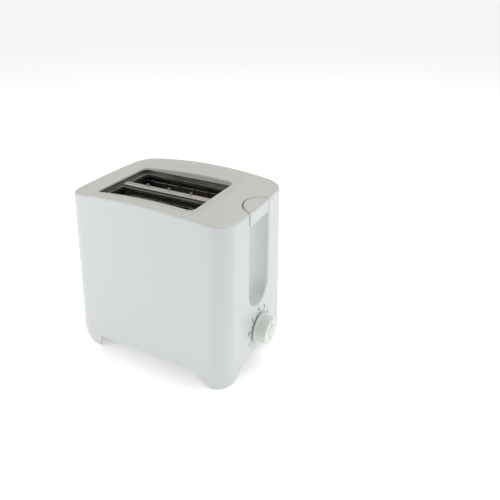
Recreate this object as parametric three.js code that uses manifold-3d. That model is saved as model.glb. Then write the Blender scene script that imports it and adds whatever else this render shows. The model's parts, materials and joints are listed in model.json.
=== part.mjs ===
// Pop-up toaster for two extra wide slices, as an assembly of separate pieces.
// Millimetres, +Z up.  +X is the lever end and -Y is the long front face.
// The finished assembly stands on z = 0, with its origin under the middle of the footprint,
// knob and cord inlet included.  While the pieces are made, x and y are measured from the middle
// of the housing, and z from a level a little above the worktop, which is at FLOOR.

import * as THREE from "three";
import { mergeVertices } from "three/addons/utils/BufferGeometryUtils.js";
import Module from "manifold-3d";

const wasm = await Module();
wasm.setup();

// ---------------------------------------------------------------- driving dimensions

const GAP = 0.3; // clearance that neighbouring pieces keep
const OVERSHOOT = 6; // how far a cutter stands above the top

// housing
const HALF_LENGTH = 113;
const HALF_WIDTH = 78;
const HEIGHT = 213;
const FLOOR = -7; // the worktop
const WALL = 2.6;
const CORNER_RADIUS = 22; // upright corners, seen from above
const EDGE_RADIUS = 3.2; // where the walls turn into the top
const BOW_X = 3; // how far the ends bulge
const BOW_Y = 4; // how far the long faces bulge
const ARCH = 8; // how far the top falls towards each end
const FLARE_X = { lever: 2.5, cord: 12 }; // how far each end leans out from the top to the floor
const DRAWN_IN = { lever: 0, cord: 4.5 }; // how far the top of each end is drawn in
const FLARE_Y = 10; // how much wider each long face is at the floor
const EDGE_HEIGHT = 12; // bottom edge between the feet
const SKIRT = FLOOR + 1; // lowest point of the housing's own feet
const TUCK_RADIUS = 20; // rounding under the cord end
const PAST_WALL = HALF_WIDTH + 14; // beyond the long faces at any height

// feet of the housing: flat length past the corner, then the ramp up to the bottom edge
const FOOT_FLAT = { lever: 5, cord: 26 };
const FOOT_RAMP = { lever: 30, cord: 6 };

// top opening and slots
const OPENING = { x0: -84, x1: 54, halfWidth: 48.5, radius: 8 };
const DISH = { depth: 6, reach: 20, crease: 0.35 }; // how the top sinks towards the opening
const LIP_BOTTOM = 199.6;
const LIP_WALL = 2;
const PAN_FLOOR = 195;
const SHEET = 1; // thickness of the pressed steel parts
const SLOT = { x0: -77, x1: 50, width: 36, centreY: 26 };
const DIVIDER = { halfWidth: 4.5, height: 2.2 }; // steel cap on the bar between the slots

// lever and its channel
const LEVER_AXIS_X = 119;
const CHANNEL_RADIUS = 25.8;
const CHANNEL_FLOOR = 99; // centre of the round end of the channel
const LEVER_RADIUS = 24.2;
const LEVER_BOTTOM = 188.5;
const DOWN_TRAVEL = 76;
const HIGH_LIFT = 10;
const CARRIAGE_X = 60;
const ROD_X = 67;
const ARM_X = 77;
const ARMATURE_Z = 108; // underside of the armature with the carriage up
const MAGNET = { x0: 66, x1: 76, y0: 21, y1: 32, z0: 14.7, leg: 4 };
const TONGUE = { tip: 107, halfWidth: 2.5, z0: 190, z1: 194 };

// browning control
const KNOB_Z = 38;
const KNOB_RADIUS = 19.5;
const KNOB_LENGTH = 16.5;
const KNOB_BACK = HALF_LENGTH + FLARE_X.lever + 0.8;
const STEM_TIP = 104; // inner end of the button's stem
const KNOB_RECESS = 9.7; // how deep the hole for the button starts from the knob's back
const SHAFT_RADIUS = 4;

// control board behind the knob
const BOARD_X = 96;
const BOARD_BACK = BOARD_X + 1.6;

// toasting chamber
const CHASSIS = { lever: 55, cord: -79.5, halfWidth: 57, z0: 14.6, z1: 194.4 };
const REFLECTOR_Y = 54;
const OUTER_BOARD_Y = 47;
const GUARD_OFFSET = 15; // guard planes either side of a slot's middle
const WIRE_RADIUS = 0.9;
const RACK_TOP = 114;
const BOARD = { x0: -71, x1: 47 }; // mica boards that carry the ribbons

// base
const INLET = { z: 50, bore: 4.6, neck: 7.6, flange: 10.5 }; // the cord's way in: height and radii
const BASE_Z = 13;
const BASE_THICKNESS = 1.2;
const SCREWS = [[70, 71], [-88, 70], [70, -71], [-88, -70]];
const FEET = [[84, 57], [-80, 57], [84, -57], [-80, -57]];
const TRAY = { x0: -75, x1: 51, y0: -56, y1: 75, z0: 15.4, wall: 5.5 };
const TRAY_MOUTH = { x0: -79, x1: 55, top: 23.6 };

// ---------------------------------------------------------------- materials

const finish = (color, roughness, metalness) => ({ color, roughness, metalness });
const FINISH = {
  white: finish(0xd9dcdc, 0.38, 0),
  knob: finish(0xc9cdc6, 0.42, 0),
  rubber: finish(0x2a2b2c, 0.9, 0),
  steel: finish(0x8f9290, 0.45, 0.9),
  bright: finish(0xb8b6ac, 0.4, 0.8),
  mica: finish(0x8a7a5c, 0.7, 0),
  ribbon: finish(0x6d6a66, 0.4, 1),
  copper: finish(0xa5562c, 0.4, 1),
  brass: finish(0xb89a4a, 0.35, 1),
  board: finish(0xb08d4c, 0.6, 0),
  black: finish(0x1d1d1f, 0.55, 0),
  yellow: finish(0xc9a227, 0.5, 0),
};

// ---------------------------------------------------------------- helpers

function solid(geometry) {
  const bare = geometry.clone();
  bare.deleteAttribute("normal");
  bare.deleteAttribute("uv");
  const merged = mergeVertices(bare, 1e-4);
  const vertProperties = new Float32Array(merged.attributes.position.array);
  const triVerts = new Uint32Array(merged.index.array);
  return new wasm.Manifold(new wasm.Mesh({ numProp: 3, vertProperties, triVerts }));
}

function geometryOf(manifold) {
  const mesh = manifold.getMesh();
  const geometry = new THREE.BufferGeometry();
  geometry.setAttribute("position", new THREE.BufferAttribute(mesh.vertProperties, 3));
  geometry.setIndex(new THREE.BufferAttribute(mesh.triVerts, 1));
  return geometry;
}

const join = (...geometries) => geometryOf(geometries.map(solid).reduce((a, b) => a.add(b)));
const cut = (base, ...tools) => geometryOf(tools.map(solid).reduce((a, b) => a.subtract(b), solid(base)));
const common = (a, b) => geometryOf(solid(a).intersect(solid(b)));

function box(x0, x1, y0, y1, z0, z1) {
  const geometry = new THREE.BoxGeometry(x1 - x0, y1 - y0, z1 - z0);
  return geometry.translate((x0 + x1) / 2, (y0 + y1) / 2, (z0 + z1) / 2);
}

// A round bar from start along +axis.
function bar(radius, length, axis, start, sides = 16) {
  const geometry = new THREE.CylinderGeometry(radius, radius, length, sides);
  geometry.translate(0, length / 2, 0);
  if (axis === "x") geometry.rotateZ(-Math.PI / 2);
  if (axis === "z") geometry.rotateX(Math.PI / 2);
  return geometry.translate(...start);
}

// A turned piece about +X: profile points are [radius, distance along X].
function turned(profile, start, sides) {
  const points = profile.map(([radius, along]) => new THREE.Vector2(radius, along));
  return new THREE.LatheGeometry(points, sides).rotateZ(-Math.PI / 2).translate(...start);
}

// A prism standing on z0 with a rounded rectangle for its outline.
function roundedPrism(x0, x1, y0, y1, radius, z0, z1) {
  const shape = new THREE.Shape();
  shape.moveTo(x0 + radius, y0);
  shape.lineTo(x1 - radius, y0);
  shape.absarc(x1 - radius, y0 + radius, radius, -Math.PI / 2, 0);
  shape.lineTo(x1, y1 - radius);
  shape.absarc(x1 - radius, y1 - radius, radius, 0, Math.PI / 2);
  shape.lineTo(x0 + radius, y1);
  shape.absarc(x0 + radius, y1 - radius, radius, Math.PI / 2, Math.PI);
  shape.lineTo(x0, y0 + radius);
  shape.absarc(x0 + radius, y0 + radius, radius, Math.PI, 1.5 * Math.PI);
  const options = { depth: z1 - z0, bevelEnabled: false, curveSegments: 3 };
  return new THREE.ExtrudeGeometry(shape, options).translate(0, 0, z0);
}

// A wire or tube of round section along a curve.
function tube(curve, radius, sides, steps) {
  const section = new THREE.Shape();
  section.absarc(0, 0, radius, 0, 2 * Math.PI);
  const options = { extrudePath: curve, steps, curveSegments: sides / 2, bevelEnabled: false };
  return new THREE.ExtrudeGeometry(section, options);
}

const { lerp } = THREE.MathUtils;
const smoothstep = (t) => THREE.MathUtils.smoothstep(t, 0, 1);

// ---------------------------------------------------------------- the housing's moulded skin

// Bends a plain upright block into the housing's shape: bowed sides, a wider foot,
// an arched top, and a rounded underside at the cord end.
function mould(x, y, z) {
  const u = x / HALF_LENGTH;
  const v = y / HALF_WIDTH;
  const low = 1 - z / HEIGHT;
  const end = x > 0 ? "lever" : "cord";
  const longer = FLARE_X[end] * low - DRAWN_IN[end] - BOW_X * v * v;
  let mouldedX = x * (1 + longer / HALF_LENGTH);
  const mouldedY = y * (1 - (BOW_Y / HALF_WIDTH) * u * u + (FLARE_Y / HALF_WIDTH) * low);
  const mouldedZ = z * (1 - (ARCH / HEIGHT) * u * u);
  const above = z - FLOOR;
  if (x < 0 && above < TUCK_RADIUS) {
    const rise = Math.min(TUCK_RADIUS - above, TUCK_RADIUS * 0.98);
    const tuck = TUCK_RADIUS - Math.sqrt(TUCK_RADIUS ** 2 - rise ** 2);
    mouldedX += tuck * smoothstep((-u - 0.66) / 0.3);
  }
  return new THREE.Vector3(mouldedX, mouldedY, mouldedZ);
}

// Front half of the plan outline, from the lever end to the cord end, inset from the skin.
function halfPlan(inset) {
  const a = HALF_LENGTH - inset;
  const b = HALF_WIDTH - inset;
  const radius = Math.max(CORNER_RADIUS - inset, 1);
  const points = [];
  const endSteps = [0.16, 0.5, 0.82];
  const arcSteps = 6;
  const sideSteps = 8;
  endSteps.forEach((t) => points.push([a, -(b - radius) * t]));
  for (let i = 0; i <= arcSteps; i++) {
    const angle = (i / arcSteps) * (Math.PI / 2);
    points.push([a - radius + radius * Math.cos(angle), -(b - radius) - radius * Math.sin(angle)]);
  }
  for (let i = 1; i < sideSteps; i++) {
    points.push([(a - radius) * (1 - (2 * i) / sideSteps), -b]);
  }
  for (let i = arcSteps; i >= 0; i--) {
    const angle = (i / arcSteps) * (Math.PI / 2);
    points.push([-(a - radius) - radius * Math.cos(angle), -(b - radius) - radius * Math.sin(angle)]);
  }
  endSteps.toReversed().forEach((t) => points.push([-a, -(b - radius) * t]));
  return points;
}

// Height of the housing's bottom edge: low at the corner feet, raised between them.
function bottomEdge(x, y) {
  const end = x > 0 ? "lever" : "cord";
  const alongSide = HALF_LENGTH - Math.abs(x) - CORNER_RADIUS / 2;
  const alongEnd = HALF_WIDTH - Math.abs(y) - CORNER_RADIUS / 2;
  const onSide = Math.abs(y) / HALF_WIDTH > Math.abs(x) / HALF_LENGTH;
  const past = onSide ? alongSide - FOOT_FLAT[end] : alongEnd - FOOT_FLAT.lever;
  const ramp = onSide ? FOOT_RAMP[end] : FOOT_RAMP.lever;
  return SKIRT + (EDGE_HEIGHT - SKIRT) * smoothstep(past / ramp);
}

// A closed solid of the housing's outside, or of a surface inset from it.
// Its underside follows bottom(x, y), and the rings above that settle to level ones.
function skin(inset, bottom) {
  const top = HEIGHT - inset;
  const settled = 40;
  const underside = { inset: inset + WALL + 1.5, level: bottom };
  const low = [0, 0.1, 0.24, 0.45].map((t) => ({ inset, level: (x, y) => lerp(bottom(x, y), settled, t) }));
  const plain = [settled, 95, 150].map((z) => ({ inset, level: () => z }));
  const edge = [0, 1, 2, 3].map((i) => {
    const angle = (i / 3) * (Math.PI / 2);
    const z = top - EDGE_RADIUS * (1 - Math.sin(angle));
    return { inset: inset + EDGE_RADIUS * (1 - Math.cos(angle)), level: () => z };
  });
  const plan = halfPlan(0);
  const rings = [underside, ...low, ...plain, ...edge].map((ring) => {
    const half = halfPlan(ring.inset).map(([x, y], i) => mould(x, y, ring.level(...plan[i])));
    const back = half.map((p) => new THREE.Vector3(p.x, -p.y, p.z)).reverse();
    return [...half, ...back];
  });
  return loft(rings);
}

// Joins rings of equal length into a closed solid.  Each ring mirrors itself across y = 0,
// so its end caps are ladders of quads from one half to the other.
function loft(rings) {
  const count = rings[0].length;
  const half = count / 2;
  const positions = rings.flat().flatMap((p) => [p.x, p.y, p.z]);
  const index = [];
  for (let r = 0; r < rings.length - 1; r++) {
    for (let i = 0; i < count; i++) {
      const a = r * count + i;
      const b = r * count + ((i + 1) % count);
      index.push(a, a + count, b, b, a + count, b + count);
    }
  }
  const last = (rings.length - 1) * count;
  for (let i = 0; i < half - 1; i++) {
    const mirror = count - 1 - i;
    index.push(i, i + 1, mirror, i + 1, mirror - 1, mirror);
    index.push(last + i, last + mirror, last + i + 1, last + i + 1, last + mirror, last + mirror - 1);
  }
  const geometry = new THREE.BufferGeometry();
  geometry.setAttribute("position", new THREE.Float32BufferAttribute(positions, 3));
  geometry.setIndex(index);
  return geometry;
}

const outerSkin = skin(0, bottomEdge);
const innerSkin = skin(WALL, () => FLOOR - 5);

// ---------------------------------------------------------------- housing

// The round-backed channel that the lever runs in, as a solid of the given radius.
function channelBody(radius) {
  const height = HEIGHT + OVERSHOOT - CHANNEL_FLOOR;
  const shaft = bar(radius, height, "z", [LEVER_AXIS_X, 0, CHANNEL_FLOOR], 28);
  const end = new THREE.SphereGeometry(radius, 28, 14).rotateX(Math.PI / 2);
  return join(shaft, end.translate(LEVER_AXIS_X, 0, CHANNEL_FLOOR));
}

function openingPrism(grow, z0, z1) {
  const { x0, x1, halfWidth, radius } = OPENING;
  return roundedPrism(x0 - grow, x1 + grow, -halfWidth - grow, halfWidth + grow, radius + grow, z0, z1);
}

const topHeight = (x) => HEIGHT - ARCH * (x / HALF_LENGTH) ** 2;

// How far the top has sunk at a share of the way from the opening's edge (0) to the dish's rim (1).
// It falls in an S, with a slight crease at both ends.
function dishDepth(share) {
  const curve = 1 - smoothstep(share);
  return DISH.depth * (DISH.crease * (1 - share) + (1 - DISH.crease) * curve);
}

// Front half of the opening's outline, grown outward, from the lever end to the cord end.
function openingHalf(grow) {
  const { x0, x1, halfWidth } = OPENING;
  const radius = OPENING.radius + grow;
  const arcSteps = 4;
  const sideSteps = 6;
  const quarter = (centreX, from) => {
    const angles = Array.from({ length: arcSteps + 1 }, (_, i) => from + (i / arcSteps) * (Math.PI / 2));
    const centreY = -(halfWidth + grow - radius);
    return angles.map((q) => [centreX + radius * Math.cos(q), centreY - radius * Math.sin(q)]);
  };
  const leverCorner = quarter(x1 + grow - radius, 0);
  const cordCorner = quarter(x0 - grow + radius, Math.PI / 2);
  const side = [];
  for (let i = 1; i < sideSteps; i++) {
    side.push([lerp(leverCorner[arcSteps][0], cordCorner[0][0], i / sideSteps), -(halfWidth + grow)]);
  }
  const endY = leverCorner[0][1] / 2;
  return [[x1 + grow, endY], ...leverCorner, ...side, ...cordCorner, [x0 - grow, endY]];
}

// The space above the dished part of the top, or the same space lowered to leave a wall under it.
function dishBody(lowered) {
  const steps = 4;
  const rings = [];
  for (let i = 0; i <= steps; i++) {
    const share = i / steps;
    rings.push({ grow: DISH.reach * share, level: (x) => topHeight(x) - dishDepth(share) - lowered });
  }
  const above = 0.5;
  const clear = DISH.reach * (1 + above / (DISH.depth * DISH.crease));
  rings.push({ grow: clear, level: (x) => topHeight(x) + above - lowered });
  rings.push({ grow: clear, level: () => HEIGHT + OVERSHOOT });
  return loft(rings.map(({ grow, level }) => {
    const half = openingHalf(grow).map(([x, y]) => new THREE.Vector3(x, y, level(x)));
    const back = half.map((p) => new THREE.Vector3(p.x, -p.y, p.z)).reverse();
    return [...half, ...back];
  }));
}

function screwBoss(x, y) {
  const side = Math.sign(y);
  const post = bar(4.6, 26, "z", [x, y, BASE_Z + BASE_THICKNESS + GAP], 16);
  const reach = [y, side * PAST_WALL].sort((a, b) => a - b);
  const web = box(x - 1.2, x + 1.2, ...reach, BASE_Z + BASE_THICKNESS + GAP, 36);
  return join(post, web);
}

function makeHousing() {
  const lip = openingPrism(LIP_WALL, LIP_BOTTOM, HEIGHT + OVERSHOOT);
  const bosses = SCREWS.map(([x, y]) => screwBoss(x, y));
  const inside = join(lip, dishBody(WALL), channelBody(CHANNEL_RADIUS + WALL), ...bosses);
  const shell = join(cut(outerSkin, innerSkin), common(inside, outerSkin));
  const reach = TONGUE.halfWidth + 0.7;
  const slotBottom = TONGUE.z0 - DOWN_TRAVEL - 1;
  const slotTop = TONGUE.z1 + HIGH_LIFT + 0.8;
  const wall = [HALF_WIDTH - 14, PAST_WALL];
  return cut(
    shell,
    openingPrism(0, 150, HEIGHT + OVERSHOOT),
    dishBody(0),
    channelBody(CHANNEL_RADIUS),
    box(LEVER_AXIS_X - CHANNEL_RADIUS - 6, LEVER_AXIS_X, -reach, reach, slotBottom, slotTop),
    bar(5.2, 20, "x", [HALF_LENGTH - 10, 0, KNOB_Z], 24),
    bar(INLET.neck + GAP, 20, "x", [-HALF_LENGTH - 13, 0, INLET.z], 24),
    box(TRAY_MOUTH.x0, TRAY_MOUTH.x1, ...wall, FLOOR, TRAY_MOUTH.top),
    ...SCREWS.map(([x, y]) => bar(1.9, 22, "z", [x, y, BASE_Z], 12)),
  );
}

// ---------------------------------------------------------------- top of the chamber

function makeSlotPlate() {
  const tray = openingPrism(1.6, PAN_FLOOR, LIP_BOTTOM - GAP);
  const hollow = openingPrism(1.6 - SHEET, PAN_FLOOR + SHEET, HEIGHT);
  const half = SLOT.width / 2;
  const slots = [-1, 1].map((side) => {
    const y = side * SLOT.centreY;
    return roundedPrism(SLOT.x0, SLOT.x1, y - half, y + half, 3, PAN_FLOOR - 5, HEIGHT);
  });
  return cut(tray, hollow, ...slots);
}

// Steel cap over the bar between the slots, with the locking tabs that stand along its back edge.
function makeSlotDivider() {
  const half = DIVIDER.halfWidth;
  const bottom = PAN_FLOOR + SHEET + GAP;
  const cap = box(SLOT.x0 - 1, SLOT.x1 + 1, -half, half, bottom, bottom + DIVIDER.height);
  const tabs = [-46, -14, 18].map((x) => box(x, x + 3, half - 1.2, half - 0.2, bottom + 1, bottom + 5));
  return join(cap, ...tabs);
}

// ---------------------------------------------------------------- chamber

function makeChassisLever() {
  const { lever, halfWidth, z0, z1 } = CHASSIS;
  const sheet = box(lever, lever + SHEET, -halfWidth, halfWidth, z0, z1);
  const shelf = box(lever, lever + 19, -24, 12, 191, 192);
  const slots = [-1, 1].map((side) => {
    const y = side * SLOT.centreY;
    return box(lever - 2, lever + 3, y - 2.4, y + 2.4, RACK_TOP - 12 - DOWN_TRAVEL, RACK_TOP + HIGH_LIFT + 2);
  });
  return cut(join(sheet, shelf), ...slots);
}

function makeChassisCord() {
  const { cord, halfWidth, z0, z1 } = CHASSIS;
  const foot = box(cord - 12, cord + SHEET, -halfWidth + 12, halfWidth - 12, z0, z0 + SHEET);
  return join(box(cord, cord + SHEET, -halfWidth, halfWidth, z0, z1), foot);
}

function makeReflector(side) {
  const y = side * REFLECTOR_Y;
  const x0 = CHASSIS.cord + SHEET + GAP;
  const x1 = CHASSIS.lever - GAP;
  const panel = box(x0, x1, y - SHEET / 2, y + SHEET / 2, 26, 190);
  const fold = [y - side * 3, y].sort((a, b) => a - b);
  return join(panel, box(x0, x1, ...fold, 189, 190), box(x0, x1, ...fold, 26, 27));
}

function makeHeaterBoard(y) {
  return box(BOARD.x0, BOARD.x1, y - 0.5, y + 0.5, 34, 186);
}

// Flat resistance ribbon: turns wound round a board, clear of it, each stepping down to the next.
function makeRibbon(y) {
  const inner = 0.5 + GAP;
  const outer = inner + 0.5;
  const pitch = 14;
  const pieces = [];
  for (let turn = 0; turn < 10; turn++) {
    const z = 44 + turn * pitch;
    const loop = box(BOARD.x0 - outer, BOARD.x1 + outer, y - outer, y + outer, z, z + 2.4);
    const middle = box(BOARD.x0 - inner, BOARD.x1 + inner, y - inner, y + inner, z - 1, z + 4);
    pieces.push(cut(loop, middle));
    const step = box(BOARD.x1 + inner, BOARD.x1 + outer, y - 0.6, y + 0.6, z - pitch + 1, z + 1);
    if (turn > 0) pieces.push(step);
  }
  return join(...pieces);
}

// Welded wire grid that keeps the bread off a heater: upright wires on two rails.
function makeGuard(y, away) {
  const x0 = CHASSIS.cord + SHEET + GAP;
  const x1 = CHASSIS.lever - GAP;
  const railY = y + away * WIRE_RADIUS * 1.6;
  const rails = [33, 187].map((z) => bar(WIRE_RADIUS, x1 - x0, "x", [x0, railY, z], 6));
  const wires = [0, 1, 2, 3, 4, 5].map((i) => bar(WIRE_RADIUS, 160, "z", [-66 + i * 21.6, y, 30], 6));
  return join(...rails, ...wires);
}

// ---------------------------------------------------------------- carriage

function makeBreadRack(side) {
  const y = side * SLOT.centreY;
  const shelf = box(-73, 49, y - 6, y + 6, RACK_TOP - 1.2, RACK_TOP);
  const web = box(-73, CARRIAGE_X - GAP, y - 0.6, y + 0.6, RACK_TOP - 10, RACK_TOP - 1);
  const teeth = [-60, -30, 0, 30].map((x) => box(x, x + 8, y - 6, y - 5, RACK_TOP - 1, RACK_TOP + 2.5));
  const windows = [-58, -28, 2, 30].map((x) => box(x, x + 14, y - 2, y + 2, RACK_TOP - 8, RACK_TOP - 3.5));
  return cut(join(shelf, web, ...teeth), ...windows);
}

// One folded sheet: back plate, two ears on the guide rod, the arm up to the lever, its tongue.
function makeCarriage() {
  const plate = box(CARRIAGE_X, CARRIAGE_X + 1.2, -34, 34, 100, 126);
  const lowerEar = box(CARRIAGE_X, ROD_X + 6, -7, 7, 100, 101.2);
  const upperEar = box(CARRIAGE_X, ARM_X + 1.2, -7, 7, 124.8, 126);
  const arm = box(ARM_X, ARM_X + 1.2, -5, 5, 124.8, TONGUE.z1);
  const tongue = box(ARM_X, TONGUE.tip, -TONGUE.halfWidth, TONGUE.halfWidth, TONGUE.z0, TONGUE.z1);
  const hook = box(CARRIAGE_X, ROD_X + 2, -22, -18, 124.8, 126);
  const wing = box(CARRIAGE_X, MAGNET.x1 + 2, 19, 33, ARMATURE_Z + 2 + GAP, ARMATURE_Z + 3.5);
  const bore = bar(3, 60, "z", [ROD_X, 0, 90], 16);
  return cut(join(plate, lowerEar, upperEar, arm, tongue, hook, wing), bore);
}

function makeLeverKnob() {
  const column = bar(LEVER_RADIUS, 40, "z", [LEVER_AXIS_X, 0, LEVER_BOTTOM], 40);
  const reach = TONGUE.halfWidth + GAP;
  const pocket = box(ARM_X, TONGUE.tip + GAP, -reach, reach, TONGUE.z0 - GAP, TONGUE.z1 + GAP);
  return cut(common(column, outerSkin), pocket);
}

// Spring that pulls the carriage up: a coil with a straight end at each hook.
function makeReturnSpring() {
  const turns = 10;
  const stepsPerTurn = 7;
  const z0 = 126 + GAP;
  const z1 = 191 - GAP;
  const points = [];
  for (let i = 0; i <= turns * stepsPerTurn; i++) {
    const angle = (i / stepsPerTurn) * 2 * Math.PI;
    const z = z0 + 1 + (i / (turns * stepsPerTurn)) * (z1 - z0 - 2);
    points.push(new THREE.Vector3(ROD_X - 2 + 3 * Math.cos(angle), -20 + 3 * Math.sin(angle), z));
  }
  return tube(new THREE.CatmullRomCurve3(points), 0.5, 4, turns * stepsPerTurn);
}

// U-shaped iron core: two legs that stop just short of the armature when the carriage is down.
function makeMagnetCore() {
  const { x0, x1, y0, y1, z0, leg } = MAGNET;
  const top = ARMATURE_Z - DOWN_TRAVEL - GAP;
  const legs = [y0, y1 - leg].map((y) => box(x0, x1, y, y + leg, z0, top));
  return join(box(x0, x1, y0, y1, z0, z0 + 3), ...legs);
}

function makeMagnetCoil() {
  const { x0, x1, y0, z0, leg } = MAGNET;
  const rim = box(x0 - 3, x1 + 3, y0 - 3, y0 + leg + 2.4, z0 + 4, z0 + 13);
  return cut(rim, box(x0 - GAP, x1 + GAP, y0 - GAP, y0 + leg + GAP, z0, z0 + 20));
}

// ---------------------------------------------------------------- controls

function makeBrowningKnob() {
  const r = KNOB_RADIUS;
  const h = KNOB_LENGTH;
  const bore = SHAFT_RADIUS + GAP;
  const profile = [
    [bore, 0], [r, 0], [r, 2.4], [r - 1.1, 3.2], [r - 1.6, h - 2.6], [r - 2.3, h - 0.8], [r - 3.8, h],
    [8.4, h], [8, h - 0.4], [8, KNOB_RECESS], [bore, KNOB_RECESS], [bore, 0],
  ];
  const body = turned(profile, [KNOB_BACK, 0, KNOB_Z], 30);
  const face = KNOB_BACK + h;
  const pointer = box(face - 1.2, face + 0.5, -0.8, 0.8, KNOB_Z + 9, KNOB_Z + r - 3.9);
  return join(body, pointer);
}

// Push button in the middle of the knob, with a stem through the hollow shaft to its switch.
function makeCancelButton() {
  const back = KNOB_BACK + KNOB_RECESS + 3;
  const cap = KNOB_LENGTH - KNOB_RECESS - 3;
  const profile = [[0, 0], [7.5, 0], [7.5, cap], [6.6, cap + 0.7], [3.5, cap + 1.1], [0, cap + 1.2]];
  const button = turned(profile, [back, 0, KNOB_Z], 24);
  const stem = bar(2, back + 1 - STEM_TIP, "x", [STEM_TIP, 0, KNOB_Z], 12);
  return join(button, stem);
}

function makePotentiometerShaft() {
  const profile = [[2.4, 0], [SHAFT_RADIUS, 0], [SHAFT_RADIUS, 22], [2.4, 22], [2.4, 0]];
  return turned(profile, [104, 0, KNOB_Z], 20);
}

function makePotentiometerBody() {
  const profile = [[5, 0], [11, 0], [11, 8], [5, 8], [5, 0]];
  return turned(profile, [BOARD_BACK + GAP, 0, KNOB_Z], 24);
}

function makeContactLeaf(y) {
  return join(box(63, 64, y, y + 3, 26, 40), box(64, 76, y, y + 3, 39, 40));
}

// ---------------------------------------------------------------- base, tray, feet, cord inlet

function makeBasePlate() {
  const points = halfPlan(WALL + 0.9).map(([x, y]) => mould(x, y, BASE_Z));
  const outline = [...points, ...points.map((p) => new THREE.Vector3(p.x, -p.y, p.z)).reverse()];
  const shape = new THREE.Shape(outline.map((p) => new THREE.Vector2(p.x, p.y)));
  const options = { depth: BASE_THICKNESS, bevelEnabled: false };
  const sheet = new THREE.ExtrudeGeometry(shape, options).translate(0, 0, BASE_Z);
  const holes = SCREWS.map(([x, y]) => bar(2.2, 4, "z", [x, y, BASE_Z - 1], 12));
  const vents = [];
  for (let i = 0; i < 5; i++) {
    [-94, 64].forEach((x) => vents.push(box(x, x + 4, -34 + i * 15, -25 + i * 15, 10, 16)));
  }
  const notch = box(TRAY_MOUTH.x0, TRAY_MOUTH.x1, TRAY.y1 - GAP, PAST_WALL, 10, 16);
  return cut(sheet, notch, ...holes, ...vents);
}

function makeCrumbTray() {
  const { x0, x1, y0, y1, z0, wall } = TRAY;
  const pan = box(x0, x1, y0, y1, z0, z0 + wall);
  return cut(pan, box(x0 + 1, x1 - 1, y0 + 1, y1 - 1, z0 + 1, z0 + wall + 1));
}

// The tray's front, following the housing's back face, with a finger scoop under it.
function makeTrayHandle() {
  const { x0, x1, top } = TRAY_MOUTH;
  const block = box(x0 + 0.5, x1 - 0.5, TRAY.y1 + GAP, PAST_WALL, EDGE_HEIGHT + 0.4, top - 0.5);
  const scoop = bar(6, 48, "x", [-36, HALF_WIDTH + FLARE_Y, EDGE_HEIGHT - 0.5], 20);
  return cut(common(block, outerSkin), scoop);
}

function makeFootPad([x, y]) {
  const post = roundedPrism(x - 9, x + 9, y - 8, y + 8, 4, FLOOR + 1.2, BASE_Z - GAP);
  const sole = roundedPrism(x - 8.2, x + 8.2, y - 7.2, y + 7.2, 3.4, FLOOR, FLOOR + 2);
  return join(post, sole);
}

function makeBaseScrew([x, y]) {
  const head = bar(3.6, 1.6, "z", [x, y, BASE_Z - GAP - 1.6], 12);
  return join(head, bar(1.5, 17, "z", [x, y, BASE_Z - GAP - 0.8], 10));
}

function makeCordInlet() {
  const { z, bore, neck, flange } = INLET;
  const wall = mould(-HALF_LENGTH, 0, z - flange).x;
  const thick = 2.2;
  const profile = [[bore, 0], [flange, 0], [flange, thick], [neck, thick], [neck, 7], [bore, 7], [bore, 0]];
  return turned(profile, [wall - thick - GAP, 0, z], 24);
}

// ---------------------------------------------------------------- assembly

const toaster = new THREE.Group();

function add(name, geometry, look) {
  const material = new THREE.MeshStandardMaterial(look);
  const mesh = new THREE.Mesh(geometry, material);
  mesh.name = name;
  toaster.add(mesh);
  return mesh;
}

add("outer_housing", makeHousing(), FINISH.white);
add("slot_plate", makeSlotPlate(), FINISH.steel);
add("slot_divider", makeSlotDivider(), FINISH.bright);

add("chassis_end_lever", makeChassisLever(), FINISH.steel);
add("chassis_end_cord", makeChassisCord(), FINISH.steel);
add("reflector_front", makeReflector(-1), FINISH.bright);
add("reflector_rear", makeReflector(1), FINISH.bright);
[["front", -OUTER_BOARD_Y], ["centre", 0], ["rear", OUTER_BOARD_Y]].forEach(([place, y]) => {
  add(`heater_board_${place}`, makeHeaterBoard(y), FINISH.mica);
  add(`heater_ribbon_${place}`, makeRibbon(y), FINISH.ribbon);
});
[["front", -SLOT.centreY], ["rear", SLOT.centreY]].forEach(([place, y]) => {
  const outward = Math.sign(y);
  add(`bread_guard_${place}_outer`, makeGuard(y + outward * GUARD_OFFSET, outward), FINISH.steel);
  add(`bread_guard_${place}_inner`, makeGuard(y - outward * GUARD_OFFSET, -outward), FINISH.steel);
});

add("bread_rack_front", makeBreadRack(-1), FINISH.steel);
add("bread_rack_rear", makeBreadRack(1), FINISH.steel);
add("carriage_bracket", makeCarriage(), FINISH.steel);
add("lever_knob", makeLeverKnob(), FINISH.white);
add("guide_rod", bar(2.5, 176, "z", [ROD_X, 0, BASE_Z + BASE_THICKNESS + GAP], 16), FINISH.bright);
add("return_spring", makeReturnSpring(), FINISH.bright);
const armature = box(MAGNET.x0 - 1, MAGNET.x1 + 1, 20, 33, ARMATURE_Z, ARMATURE_Z + 2);
add("armature_plate", armature, FINISH.steel);
add("magnet_core", makeMagnetCore(), FINISH.steel);
add("magnet_coil", makeMagnetCoil(), FINISH.copper);
add("switch_block", box(62, 80, -36, -22, 14.6, 25.7), FINISH.black);
[-33, -27].forEach((y, i) => add(`contact_leaf_${i + 1}`, makeContactLeaf(y), FINISH.brass));

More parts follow.
